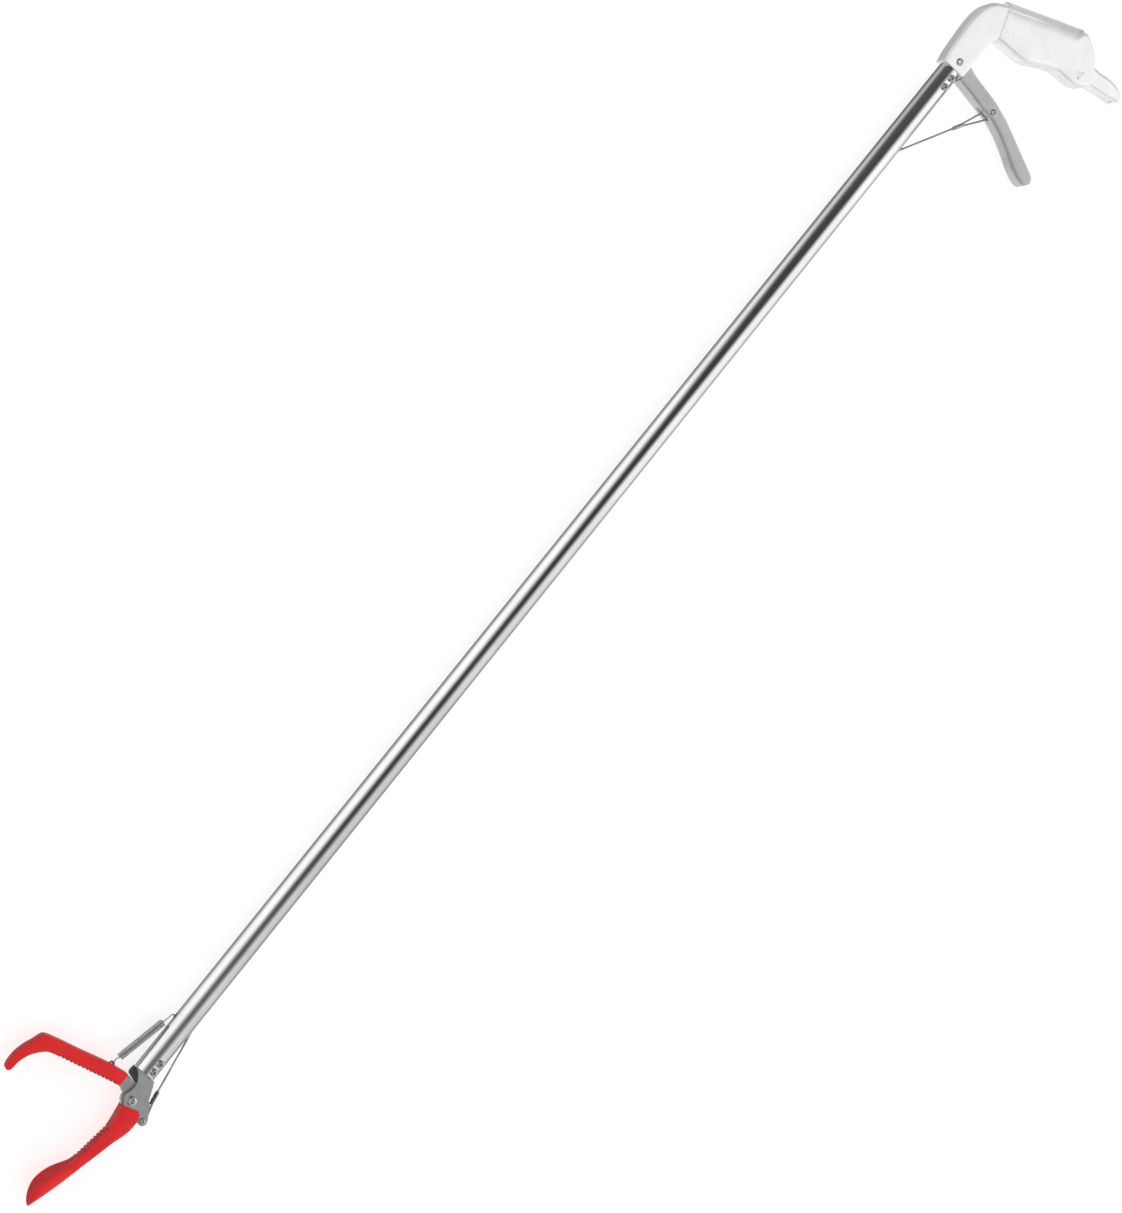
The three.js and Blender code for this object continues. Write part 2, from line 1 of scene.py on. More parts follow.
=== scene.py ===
# The looks of a 1.2 m reacher grabber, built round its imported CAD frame.
# Shapes are drawn in the tool's own millimetres, as in part.mjs: x = 0 close to the jaw pivot, y = 0
# on the tube's axis, z = 0 on the mid-plane. place() moves each finished piece into the frame.
import json
import math

import bmesh
import bpy
import numpy as np
from mathutils import Matrix, Vector


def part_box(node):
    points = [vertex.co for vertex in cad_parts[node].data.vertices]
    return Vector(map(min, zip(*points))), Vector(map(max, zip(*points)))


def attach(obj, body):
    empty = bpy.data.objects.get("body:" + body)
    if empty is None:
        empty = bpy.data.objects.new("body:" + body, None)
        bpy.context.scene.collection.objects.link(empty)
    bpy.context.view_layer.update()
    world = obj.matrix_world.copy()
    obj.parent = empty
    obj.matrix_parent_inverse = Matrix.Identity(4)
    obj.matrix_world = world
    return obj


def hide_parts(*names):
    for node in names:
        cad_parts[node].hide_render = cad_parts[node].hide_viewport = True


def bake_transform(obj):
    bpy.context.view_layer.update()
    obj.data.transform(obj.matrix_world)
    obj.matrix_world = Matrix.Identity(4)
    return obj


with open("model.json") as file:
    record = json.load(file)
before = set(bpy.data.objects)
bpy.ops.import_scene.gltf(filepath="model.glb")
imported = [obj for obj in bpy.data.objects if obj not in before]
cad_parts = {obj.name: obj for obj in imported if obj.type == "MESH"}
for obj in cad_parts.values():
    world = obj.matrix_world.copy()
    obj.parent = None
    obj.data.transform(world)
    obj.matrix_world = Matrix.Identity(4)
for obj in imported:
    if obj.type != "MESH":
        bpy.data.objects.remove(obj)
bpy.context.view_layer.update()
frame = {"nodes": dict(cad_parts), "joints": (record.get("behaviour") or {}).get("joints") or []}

# ---------------------------------------------------------------- places taken from the frame

MM = 0.001
TUBE_START, TUBE_END, TUBE_RADIUS, TUBE_WALL = 20, 1020, 9, 1
tube_low, tube_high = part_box("tube")
ORIGIN = Vector(
    (
        tube_low.x - TUBE_START * MM,
        (tube_low.y + tube_high.y) / 2,
        (tube_low.z + tube_high.z) / 2,
    )
)


def joint_place(name):
    """Where a hinge's axis crosses the mid-plane, in the tool's millimetres."""
    place = next(j["pos_m"] for j in frame["joints"] if j["name"] == name)
    at = (Vector(place) - ORIGIN) / MM
    return np.array([at.x, at.y])


def node_half(name):
    """Half of a node's width across the tool, in millimetres."""
    low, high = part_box(name)
    return (high.z - low.z) / 2 / MM


JAW_PIVOT = joint_place("jaw_pivot")
TAIL_PIN = joint_place("lower_cable_turn")
TRIGGER_PIVOT = joint_place("trigger_pivot")
TRIGGER_PIN = joint_place("upper_cable_turn")
SPRING_HOOK = joint_place("spring_swing")
EYELET = joint_place("spring_foot_turn")

FORK_INNER, FORK_OUTER = 4.9, 6.3
JAW_PIN_HOLE, TAIL_PIN_HOLE = 2.5, 1.8
LEVER_HALF = node_half("jaw_lever")
UPPER_JAW_HALF = node_half("upper_jaw")
LOWER_JAW_HALF = 7
FRAME_HALF, SHEET = node_half("handle_frame"), 1.2
COVER_HALF, COVER_SHEET = node_half("grip_cover"), 1.0
TRIGGER_HALF = node_half("trigger")
FORK_RIVETS = [24.6, 32.2]
HANDLE_RIVETS = [1004, 1013]
RIVET_Y = -3.2
COIL_RADIUS, SPRING_WIRE, HOOK_GAP = 2.5, 0.5, 9.5
ROPE_RADIUS, FERRULE_RADIUS, FERRULE_LENGTH = 0.8, 1.6, 11
LOWER_EYE_REACH, UPPER_EYE_REACH = 13.5, 24
LOWER_EYE_BOW, UPPER_EYE_BOW = 2.7, 3.7
LOWER_LENGTH, UPPER_LENGTH = 90, 114
LOWER_PASS, UPPER_PASS = (66, -8.5), (942, -8.5)  # where the cable goes through the tube's wall
FLOOR_SIZE, FLOOR_DROP = 60, 0.0004  # metres; the drop keeps the floor clear of the tool


# ---------------------------------------------------------------- curves


def smooth(points, steps=5):
    """A centripetal Catmull-Rom curve through the points, as a list of arrays."""
    p = [np.array(q, float) for q in points]
    p = [2 * p[0] - p[1], *p, 2 * p[-1] - p[-2]]
    made = []
    for a, b, c, d in zip(p, p[1:], p[2:], p[3:]):
        t1 = np.linalg.norm(b - a) ** 0.5
        t2 = t1 + np.linalg.norm(c - b) ** 0.5
        t3 = t2 + np.linalg.norm(d - c) ** 0.5
        for t in np.linspace(t1, t2, steps, endpoint=False):
            ab = (a * (t1 - t) + b * t) / t1
            bc = (b * (t2 - t) + c * (t - t1)) / (t2 - t1)
            cd = (c * (t3 - t) + d * (t - t2)) / (t3 - t2)
            abc = (ab * (t2 - t) + bc * t) / t2
            bcd = (bc * (t3 - t) + cd * (t - t1)) / (t3 - t1)
            made.append((abc * (t2 - t) + bcd * (t - t1)) / (t2 - t1))
    return [*made, p[-2]]


def even(path, spacing):
    """The same path with points at an even spacing."""
    path = np.array(path, float)
    run = np.concatenate([[0], np.cumsum(np.linalg.norm(np.diff(path, axis=0), axis=1))])
    at = np.linspace(0, run[-1], max(2, round(run[-1] / spacing)) + 1)
    return np.stack([np.interp(at, run, path[:, k]) for k in range(path.shape[1])], axis=1)


def offset(path, distance):
    """An open path moved sideways, to the right of its direction."""
    path = np.array(path, float)
    along = np.gradient(path, axis=0)
    along /= np.linalg.norm(along, axis=1)[:, None]
    return path + distance * np.stack([along[:, 1], -along[:, 0]], axis=1)


def ring(centre, radius, count=48):
    """A circle as an outline."""
    angles = 2 * math.pi * np.arange(count) / count
    return [centre + radius * np.array([math.cos(t), math.sin(t)]) for t in angles]


def link(a, radius_a, b, radius_b, steps=16):
    """The outline of a flat link: two round ends joined by their tangents."""
    angle = math.atan2(*(b - a)[::-1])
    made = []
    for centre, radius, start in ((a, radius_a, angle + math.pi / 2), (b, radius_b, angle - math.pi / 2)):
        for t in np.linspace(start, start + math.pi, steps):
            made.append(centre + radius * np.array([math.cos(t), math.sin(t)]))
    return made


def stadium(start, end, half):
    """A slot's outline, long along the first axis."""
    return link(np.array([start + half, 0]), half, np.array([end - half, 0]), half)


def toward(start, end, distance):
    """The point at a distance from start on the way to end."""
    return start + (end - start) * distance / np.linalg.norm(end - start)


# ---------------------------------------------------------------- solids


def skin(vertices, faces):
    """A mesh object whose faces keep the direction they are given."""
    mesh = bpy.data.meshes.new("part")
    mesh.from_pydata([tuple(map(float, v)) for v in vertices], [], faces)
    obj = bpy.data.objects.new("part", mesh)
    bpy.context.scene.collection.objects.link(obj)
    return obj


def solid(vertices, faces):
    """A closed mesh object with its faces pointing out."""
    obj = skin(vertices, faces)
    work = bmesh.new()
    work.from_mesh(obj.data)
    bmesh.ops.recalc_face_normals(work, faces=work.faces)
    work.to_mesh(obj.data)
    work.free()
    return obj


def loft(sections):
    """A closed skin through rings with the same number of points, capped at both ends."""
    n = len(sections[0])
    vertices = [p for section in sections for p in section]
    faces = [
        (k * n + i, k * n + (i + 1) % n, (k + 1) * n + (i + 1) % n, (k + 1) * n + i)
        for k in range(len(sections) - 1)
        for i in range(n)
    ]
    last = (len(sections) - 1) * n
    faces += [tuple(range(n))[::-1], tuple(range(last, last + n))]
    return solid(vertices, faces)


def prism(outline, low, high):
    """A flat outline in the XY plane, thickened from z = low to z = high."""
    return loft([[(x, y, z) for x, y in outline] for z in (low, high)])


def settle(obj):
    """Applies the object's modifiers to its mesh."""
    graph = bpy.context.evaluated_depsgraph_get()
    mesh = bpy.data.meshes.new_from_object(obj.evaluated_get(graph))
    obj.modifiers.clear()
    obj.data = mesh
    return obj


def combine(obj, tools, operation):
    for tool in tools:
        change = obj.modifiers.new("combine", "BOOLEAN")
        change.operation = operation
        change.solver = "EXACT"
        change.object = tool
        settle(obj)
        bpy.data.objects.remove(tool)
    return obj


def cut(obj, *tools):
    return combine(obj, tools, "DIFFERENCE")


def join(obj, *others):
    return combine(obj, others, "UNION")


def bevel(obj, width, segments=3, angle=38):
    """Rounds every edge that is sharper than the angle."""
    change = obj.modifiers.new("bevel", "BEVEL")
    change.width = width
    change.segments = segments
    change.limit_method = "ANGLE"
    change.angle_limit = math.radians(angle)
    change.miter_outer = "MITER_ARC"
    return settle(obj)


def gather(obj, *others):
    """Adds other objects' separate bodies to one mesh."""
    work = bmesh.new()
    for other in (obj, *others):
        work.from_mesh(other.data)
    work.to_mesh(obj.data)
    work.free()
    for other in others:
        bpy.data.objects.remove(other)
    return obj


def turned(profile, centre, sides=40):
    """A profile of (radius, z) turned about an axis across the tool."""
    rings = [[(*p, z) for p in ring(centre, max(radius, 0.02), sides)] for radius, z in profile]
    return loft(rings)


def carried(path):
    """Tangent, normal and binormal along a path, with the least twist."""
    path = np.array(path, float)
    along = np.gradient(path, axis=0)
    along /= np.linalg.norm(along, axis=1)[:, None]
    normal = np.cross(along[0], [0, 0, 1.0])
    if np.linalg.norm(normal) < 0.1:
        normal = np.cross(along[0], [0, 1.0, 0])
    frames = []
    for t in along:
        normal = normal - t * (normal @ t)
        normal /= np.linalg.norm(normal)
        frames.append((normal, np.cross(t, normal)))
    return path, frames


def wire(path, radius, sides=10):
    """A round wire along a path. The radius may be one number or a list, one for each point."""
    path, frames = carried(path)
    radii = np.broadcast_to(radius, len(path))
    angles = 2 * math.pi * np.arange(sides) / sides
    return loft(
        [
            [p + r * (math.cos(t) * a + math.sin(t) * b) for t in angles]
            for p, r, (a, b) in zip(path, radii, frames)
        ]
    )


def rope(path, radius, strands=6, lay=9.0):
    """Twisted strands round a core, along a path."""
    path = even(path, lay / 11)
    centres, frames = carried(path)
    run = np.concatenate([[0], np.cumsum(np.linalg.norm(np.diff(centres, axis=0), axis=1))])
    thin = radius / 3
    made = [wire(centres, thin, 6)]
    for k in range(strands):
        turn = 2 * math.pi * (run / lay + k / strands)
        strand = [
            p + 2 * thin * (math.cos(t) * a + math.sin(t) * b)
            for p, t, (a, b) in zip(centres, turn, frames)
        ]
        made.append(wire(strand, thin * 1.06, 7))
    return gather(*made)


# ---------------------------------------------------------------- materials


class Shader:
    """A Principled material and short ways to add procedural nodes to it."""

    def __init__(self, name, metallic):
        self.material = bpy.data.materials.new(name)
        self.material.use_nodes = True
        self.tree = self.material.node_tree
        self.surface = self.tree.nodes["Principled BSDF"]
        self.surface.inputs["Metallic"].default_value = metallic
        self.place = self.node("ShaderNodeTexCoord").outputs["Object"]

    def node(self, kind):
        return self.tree.nodes.new(kind)

    def stretched(self, x, y, z):
        """Object coordinates scaled by a factor along each axis."""
        mapping = self.node("ShaderNodeMapping")
        mapping.inputs["Scale"].default_value = (x, y, z)
        self.tree.links.new(self.place, mapping.inputs["Vector"])
        return mapping.outputs["Vector"]

    def noise(self, scale, detail=3.0, where=None):
        made = self.node("ShaderNodeTexNoise")
        made.inputs["Scale"].default_value = scale
        made.inputs["Detail"].default_value = detail
        self.tree.links.new(where or self.place, made.inputs["Vector"])
        return made.outputs["Fac"]

    def cells(self, scale):
        made = self.node("ShaderNodeTexVoronoi")
        made.inputs["Scale"].default_value = scale
        self.tree.links.new(self.place, made.inputs["Vector"])
        return made.outputs["Color"]

    def ramp(self, value, low, high, start=0.3, end=0.7):
        """Maps a value from start..end to low..high."""
        made = self.node("ShaderNodeMapRange")
        for key, number in (("From Min", start), ("From Max", end), ("To Min", low), ("To Max", high)):
            made.inputs[key].default_value = number
        self.tree.links.new(value, made.inputs["Value"])
        return made.outputs["Result"]

    def colour(self, value, dark, light, start=0.3, end=0.7):
        made = self.node("ShaderNodeValToRGB")
        for stop, at, colour in zip(made.color_ramp.elements, (start, end), (dark, light)):
            stop.position = at
            stop.color = (*colour, 1)
        self.tree.links.new(value, made.inputs["Fac"])
        self.tree.links.new(made.outputs["Color"], self.surface.inputs["Base Color"])

    def rough(self, value, low, high):
        self.tree.links.new(self.ramp(value, low, high), self.surface.inputs["Roughness"])

    def bump(self, value, depth_mm):
        made = self.node("ShaderNodeBump")
        made.inputs["Strength"].default_value = 1.0
        made.inputs["Distance"].default_value = depth_mm * MM
        self.tree.links.new(value, made.inputs["Height"])
        self.tree.links.new(made.outputs["Normal"], self.surface.inputs["Normal"])


def grey(value, warm=0.0):
    return (value * (1 + warm), value, value * (1 - warm))


def polished_tube():
    """Bright plating over drawn tube: faint lines along the tube, soft smudges."""
    made = Shader("polished_tube", 1.0)
    lines = made.noise(1.0, 4, made.stretched(6, 1300, 1300))
    made.colour(made.noise(22, 4), grey(0.74, -0.01), grey(0.84, -0.005))
    made.rough(lines, 0.09, 0.17)
    made.bump(lines, 0.004)
    return made.material


def pressed_steel(name, metallic, dark, light):
    """Satin-plated pressed sheet with a fine grain and a few faint scuffs."""
    made = Shader(name, metallic)
    made.colour(made.noise(70, 5), grey(dark), grey(light))
    made.rough(made.noise(900, 4, made.stretched(1, 0.35, 1)), 0.27, 0.4)
    made.bump(made.noise(1600, 3), 0.006)
    return made.material


def zinc_plate():
    """Dull zinc with a small cloudy spangle."""
    made = Shader("zinc_plate", 0.9)
    spangle = made.ramp(made.cells(420), 0.35, 0.65, 0.0, 1.0)
    made.colour(spangle, grey(0.5, -0.015), grey(0.6, -0.01), 0.35, 0.65)
    made.rough(made.noise(500, 4), 0.34, 0.5)
    made.bump(made.noise(1100, 4), 0.012)
    return made.material


def rivet_steel():
    """Rolled rivet heads: bright, with turned rings worn into the plating."""
    made = Shader("rivet_steel", 1.0)
    made.colour(made.noise(300, 4), grey(0.6), grey(0.76))
    made.rough(made.noise(700, 3), 0.2, 0.36)
    made.bump(made.noise(900, 3), 0.008)
    return made.material


def dark_steel():
    """Crimped ferrules and wire fittings: dark and matt. On the fork's dark plate it is painted shade."""
    made = Shader("dark_steel", 0.85)
    made.colour(made.noise(420, 4), grey(0.13), grey(0.24))
    made.rough(made.noise(800, 3), 0.36, 0.52)
    made.bump(made.noise(1200, 3), 0.012)
    return made.material


def rope_steel():
    """Plain steel strand with a little grime between the wires."""
    made = Shader("rope_steel", 0.95)
    made.colour(made.noise(650, 4), grey(0.5), grey(0.7))
    made.rough(made.noise(900, 3), 0.3, 0.46)
    made.bump(made.noise(2600, 2), 0.01)
    return made.material


def spring_steel():
    """Close-wound spring wire, mid grey and slightly oily."""
    made = Shader("spring_steel", 0.95)
    made.colour(made.noise(500, 4), grey(0.55), grey(0.74))
    made.rough(made.noise(900, 3), 0.28, 0.42)
    made.bump(made.noise(2000, 2), 0.006)
    return made.material


def red_plastic():
    """Moulded red plastic: satin, with a fine mould grain and a slight unevenness of colour."""
    made = Shader("red_plastic", 0.0)
    made.colour(made.noise(38, 4), (0.55, 0.006, 0.008), (0.63, 0.011, 0.013))
    made.rough(made.noise(240, 4), 0.42, 0.54)
    made.bump(made.noise(1500, 3), 0.014)
    return made.material


def floor_paper():
    """A plain pale studio floor."""
    made = Shader("floor_paper", 0.0)
    made.colour(made.noise(3, 2), grey(0.95), grey(0.96))
    made.rough(made.noise(40, 3), 0.85, 0.95)
    return made.material


LOOKS = {
    "tube_chrome": polished_tube(),
    "pressed_steel": pressed_steel("pressed_steel", 0.4, 0.88, 0.95),
    "zinc_plate": zinc_plate(),
    "rivet_steel": rivet_steel(),
    "dark_steel": dark_steel(),
    "rope_steel": rope_steel(),
    "red_plastic": red_plastic(),
}
SPRING_LOOK = spring_steel()
TRIGGER_LOOK = pressed_steel("trigger_steel", 0.6, 0.5, 0.58)


def dress(obj, look, crease=40):
    """Gives a mesh its material and smooth shading with creases at sharp edges."""
    obj.data.materials.clear()
    obj.data.materials.append(look)
    obj.data.shade_smooth()
    obj.data.set_sharp_from_angle(angle=math.radians(crease))


def place(obj, name, body, slot, nodes, look=None, flat=False):
    """Moves a finished piece from millimetres into the frame, dresses it and puts it on its body."""
    obj.name = name
    obj.data.name = name
    obj.data.transform(Matrix.Translation(ORIGIN) @ Matrix.Scale(MM, 4))
    dress(obj, look or LOOKS[slot])
    if flat:
        even_light = obj.modifiers.new("weights", "WEIGHTED_NORMAL")
        even_light.keep_sharp = True
        settle(obj)
    if body:
        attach(obj, body)
    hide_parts(*nodes)
    return obj


# ---------------------------------------------------------------- tube and fork

LOWER_SLOT, UPPER_SLOT, SLOT_HALF = (52, 86), (934, 950), 2


def across_y(obj):
    """Turns a prism that was drawn in XZ, so that its thickness runs along Y."""
    obj.data.transform(Matrix.Rotation(math.pi / 2, 4, "X"))
    return obj


def tube():
    inner = TUBE_RADIUS - TUBE_WALL
    lip = 0.25
    profile = [
        (inner, TUBE_START), (TUBE_RADIUS - lip, TUBE_START), (TUBE_RADIUS, TUBE_START + lip),
        (TUBE_RADIUS, TUBE_END - lip), (TUBE_RADIUS - lip, TUBE_END), (inner, TUBE_END),
    ]
    sides, n = 96, len(profile)
    vertices, faces = [], []
    for i in range(sides):
        t = 2 * math.pi * i / sides
        vertices += [(x, r * math.cos(t), r * math.sin(t)) for r, x in profile]
        for k in range(n):
            a, b = i * n + k, i * n + (k + 1) % n
            shift = ((i + 1) % sides - i) * n
            faces.append((a, b, b + shift, a + shift))
    obj = solid(vertices, faces)
    slots = [
        across_y(prism(stadium(start, end, SLOT_HALF), 5, 12)) for start, end in (LOWER_SLOT, UPPER_SLOT)
    ]
    hook_hole = across_y(prism(ring(np.array([SPRING_HOOK[0], 0]), 2.3, 32), -12, -5))
    cut(obj, *slots, hook_hole)
    place(obj, "tube_shell", "stick", "tube_chrome", ["tube"])


CHEEK_NOTCH = [(19.6, 8.6), (18.4, 6.2), (15.4, 3.3), (10.4, 0.6), (5, 0.6), (-1, 2.2), (-7.4, -1.8)]
CHEEK_TANG = [(-14, -6), (-38, -6.2), (-38, -10), (-20, -12.4)]
CHEEK_FRONT = [(-3.6, -15.8), (5, -15), (13, -11.8), (18.6, -9.2), (19.6, -8.6)]
SHANK = [(19.6, -4.3), (44, -4.3), (44, 4.3), (19.6, 4.3)]
# The far cheek is cut further back, so that the dark plate, painted shade for the fork's shadowed inside,
# shows behind the near one.
FAR_NOTCH = [(19.6, 8.6), (13.4, 8.4), (11.8, 5), (10.6, 0.8), (5, 0.6), (-1, 2.2), (-7.4, -1.8)]


def fork_cheek(name, side, notch):
    outline = [*smooth(notch), *CHEEK_TANG, *smooth(CHEEK_FRONT), *SHANK]
    low, high = sorted((side * FORK_INNER, side * FORK_OUTER))
    obj = cut(prism(outline, low, high), prism(ring(JAW_PIVOT, JAW_PIN_HOLE), low - 1, high + 1))
    place(bevel(obj, 0.3), name + "_plate", "stick", "zinc_plate", [name], flat=True)


def fork_painted_shade():
    """A dark plate inside the far cheek, painted shade for the shadowed inside of the fork, which shows
    through the near cheek's notch.
    """
    outline = [*smooth(FAR_NOTCH[:4]), (10.6, -6), (19.4, -7.6)]
    obj = bevel(prism(outline, 0.05 - FORK_INNER, 0.45 - FORK_INNER), 0.1, 2)
    # The dark steel on this plate is painted shade.
    place(obj, "fork_painted_shade", "stick", "dark_steel", [], flat=True)


def rivet(name, node, centre, body, reach, head, height, shank):
    """A semi-tubular rivet: a rolled, hollow end on the upper side and a low dome underneath."""
    top = reach + height
    hole = head * 0.36
    profile = [
        (0, top - 1.3 * height), (hole * 0.9, top - 1.3 * height), (hole, top - 0.35 * height),
        (hole * 1.25, top - 0.06 * height), (hole * 1.6, top), (head * 0.82, top - 0.14 * height),
        (head * 0.96, top - 0.42 * height), (head, reach + 0.15 * height), (head, reach),
        (shank, reach), (shank, -reach), (head, -reach), (head, -reach - 0.25 * height),
        (head * 0.86, -reach - 0.68 * height), (head * 0.5, -top + 0.05 * height), (0, -top),
    ]
    place(turned(profile, centre), name, body, "rivet_steel", [node])


def tube_rivets():
    places = {
        "fork_rivet_front": FORK_RIVETS[0], "fork_rivet_rear": FORK_RIVETS[1],
        "tube_rivet_front": HANDLE_RIVETS[0], "tube_rivet_rear": HANDLE_RIVETS[1],
    }
    for node, x in places.items():
        rivet(node + "_rolled", node, np.array([x, RIVET_Y]), "stick", TUBE_RADIUS, 3, 1.45, 1.5)


# ---------------------------------------------------------------- jaws


def grooves(start, end, count, depth, half):
    """A row of V-shaped cutters across the tool, along a line on a jaw's gripping side."""
    start, end = np.array(start, float), np.array(end, float)
    step = (end - start) / count
    pitch = np.linalg.norm(step)
    inward = np.array([step[1], -step[0]]) / pitch
    made = []
    for k in range(count):
        middle = start + step * (k + 0.5)
        side = step * 0.34
        wedge = [
            middle - side - inward * 1.5, middle - side - inward * 0.02, middle + inward * depth,
            middle + side - inward * 0.02, middle + side - inward * 1.5,
        ]
        made.append(prism(wedge, -half, half))
    return gather(*made)


UPPER_BACK = [
    (12, 9.9), (10.2, 23.9), (4.4, 50.4), (1.1, 66.4), (-1.3, 75.6), (-3, 78.2),
    (-9.9, 80.9), (-17.9, 84.2), (-26.2, 86.1), (-34, 86.1), (-37.8, 85), (-38.6, 83.2),
]
UPPER_FRONT = [
    (-37.4, 81.3), (-34.6, 80.7), (-28.8, 80.4), (-20.8, 77.6), (-15.9, 74.2), (-11.2, 69.4),
    (-9.2, 64.6), (-8.2, 59.3),
]
UPPER_GRIP = ((-8.2, 59.3), (1, 14))


def upper_jaw():
    back = smooth(UPPER_BACK, 4)
    outline = [*back, *smooth(UPPER_FRONT, 4), UPPER_GRIP[1], (1.9, 9.9)]
    obj = prism(outline, -UPPER_JAW_HALF, UPPER_JAW_HALF)
    count = len(outline)
    weights = obj.data.attributes.new("bevel_weight_edge", "FLOAT", "EDGE")
    for edge in obj.data.edges:
        a, b = edge.vertices
        if (a < count) == (b < count):
            on_back = max(a % count, b % count) < len(back) - 1
            weights.data[edge.index].value = 1 if on_back else 0.45
    change = obj.modifiers.new("rounding", "BEVEL")
    change.limit_method = "WEIGHT"
    change.width = 2.6
    change.segments = 5
    settle(obj)
    for vertex in obj.data.vertices:
        # The hook thins towards its tip.
        share = min(1, max(0, (-6 - vertex.co.x) / 33))
        vertex.co.z *= 1 - 0.3 * share**1.5
    room = LEVER_HALF + 0.3
    cut(
        obj,
        grooves(*UPPER_GRIP, 14, 1.0, UPPER_JAW_HALF + 1),
        prism([(2.2, 9), (8, 9), (-1.1, 60.6), (-6.2, 59.6)], -room, room),
    )
    place(obj, "upper_jaw_moulding", "jaw", "red_plastic", ["upper_jaw"])


LEVER_ARM = [
    (4.4, -7), (6.6, -11), (6.4, -14.6), (3.2, -18.8), (-2.3, -22.2), (-6.2, -24.6), (-9.6, -25), (-8.5, -20)
]


def jaw_lever():
    half = LEVER_HALF
    stub = [(-1.6, 2), (-5, -3), (4, -8), (6, -4), (10.2, 1.4), (11.4, 6), (10.9, 9.6), (1.6, 9)]
    core = [(2.6, 8.6), (7.6, 8.6), (-1.6, 60), (-6, 59)]
    obj = join(
        prism(ring(JAW_PIVOT, 7.4), -half, half),
        prism(stub, -half, half),
        prism(core, -half, half),
        prism(link(JAW_PIVOT, 5.5, TAIL_PIN, 3.6), -half, half),
        prism(smooth(LEVER_ARM, 4), -half, half),
    )
    cut(
        obj,
        prism([(-20, -40), (10, -40), (10, -14.5), (-20, -14.5)], -1.5, 1.5),
        prism(ring(JAW_PIVOT, JAW_PIN_HOLE), -9, 9),
        prism(ring(TAIL_PIN, TAIL_PIN_HOLE), -9, 9),
    )
    place(bevel(obj, 0.45), "jaw_lever_body", "jaw", "zinc_plate", ["jaw_lever"], flat=True)


# The lower jaw's cross-sections from root to tip: top x, top y, base x, base y, half width,
# hollow depth and how far the section's corners are rounded (0.2 is boxy, 0.7 is a bowl).
LOWER_STATIONS = [
    (-7.6, -1.2, -3.9, -15.2, 7, 0, 0.2),
    (-12, -1.9, -8.5, -17.6, 7, 0, 0.2),
    (-20, -3.2, -16.4, -18.2, 7, 0, 0.2),
    (-27, -3.9, -24, -16.9, 7, 0, 0.2),
    (-35, -2.9, -33, -13.8, 7, 0, 0.2),
    (-46, -1.4, -46, -10.5, 6.9, 0, 0.22),
    (-56, 0.1, -57, -7.6, 7, 0.1, 0.28),
    (-62, 1.4, -62.5, -6.3, 7.5, 0.8, 0.4),
    (-67, 3.7, -67, -5.3, 9.2, 2.2, 0.52),
    (-71.5, 6.2, -71.5, -4.1, 10.9, 3.8, 0.62),
    (-77, 8.8, -77, -2.7, 12.2, 5.4, 0.68),
    (-83, 10.6, -83, -0.9, 13, 6.4, 0.7),
    (-90, 11.8, -90, 1.1, 12.2, 6, 0.7),
    (-96, 11.2, -96, 2.8, 10.2, 4.4, 0.7),
    (-101, 9.8, -101, 4.2, 7.4, 2.6, 0.7),
    (-104.4, 8, -104.4, 5, 4.2, 1.1, 0.7),
    (-106.3, 6.5, -106.3, 5.4, 1.3, 0.2, 0.7),
]
LOWER_GRIP = ((-57.5, 0.4), (-26.5, -3.9))


def jaw_section(station):
    """A ring round the lower jaw: a rounded underside and a flat or hollowed top."""
    top, base, half, depth, rounding = station[0:2], station[2:4], station[4], station[5], station[6]
    down = base - top
    unit = down / np.linalg.norm(down)
    made = []
    for t in np.linspace(0, math.pi, 29):
        side = half * np.sign(math.cos(t)) * abs(math.cos(t)) ** rounding
        at = top + down * math.sin(t) ** max(rounding, 0.2)
        made.append((*at, side))
    rim = 1 - 0.14 * min(1, depth / 2)
    for s in np.linspace(-rim, rim, 21):
        at = top + unit * depth * (1 - (s / rim) ** 2)
        made.append((*at, half * s * 0.995))
    return made


def lower_jaw():
    stations = smooth(LOWER_STATIONS, 4)
    stations[0] = np.array(LOWER_STATIONS[0], float)
    obj = bevel(loft([jaw_section(s) for s in stations]), 0.45, 2, 50)
    room_half = LEVER_HALF + 0.6
    tang = [*CHEEK_TANG, (-7, -14.9), (-2, -19), (-2, 0), (-7.6, -1.2)]
    wide = offset([*tang, tang[0]], -0.4)[:-1]
    cut(
        obj,
        prism(ring(JAW_PIVOT, 8.2), -FORK_INNER, FORK_INNER),
        prism(link(JAW_PIVOT, 7.6, TAIL_PIN, 5.6), -room_half, room_half),
        prism(wide, FORK_INNER - 0.3, FORK_OUTER + 0.3),
        prism(wide, -FORK_OUTER - 0.3, 0.3 - FORK_INNER),
        grooves(*LOWER_GRIP, 10, 1.05, LOWER_JAW_HALF + 2),
    )
    place(obj, "lower_jaw_moulding", "stick", "red_plastic", ["lower_jaw"])


# ---------------------------------------------------------------- return spring

COIL_TOP = toward(SPRING_HOOK, EYELET, HOOK_GAP)
COIL_FOOT = toward(EYELET, SPRING_HOOK, HOOK_GAP - 2)
TURN_LENGTH = 1.9


def level(points):
    """Points of the mid-plane, with z = 0 added where it is left out."""
    return [(*p, 0) if len(p) == 2 else tuple(p) for p in points]


def coil(start, end, pitch, phase=0.0):
    """A helix of close turns between two points in the mid-plane."""
    run = np.array([*(end - start), 0])
    length = np.linalg.norm(run)
    along = run / length
    side = np.array([-along[1], along[0], 0])
    steps = int(length / pitch * 16)
    made = []
    for k in range(steps + 1):
        t = 2 * math.pi * k / 16 + phase
        centre = np.array([*start, 0]) + run * k / steps
        made.append(centre + COIL_RADIUS * (math.cos(t) * side + math.sin(t) * np.array([0, 0, 1])))
    return made


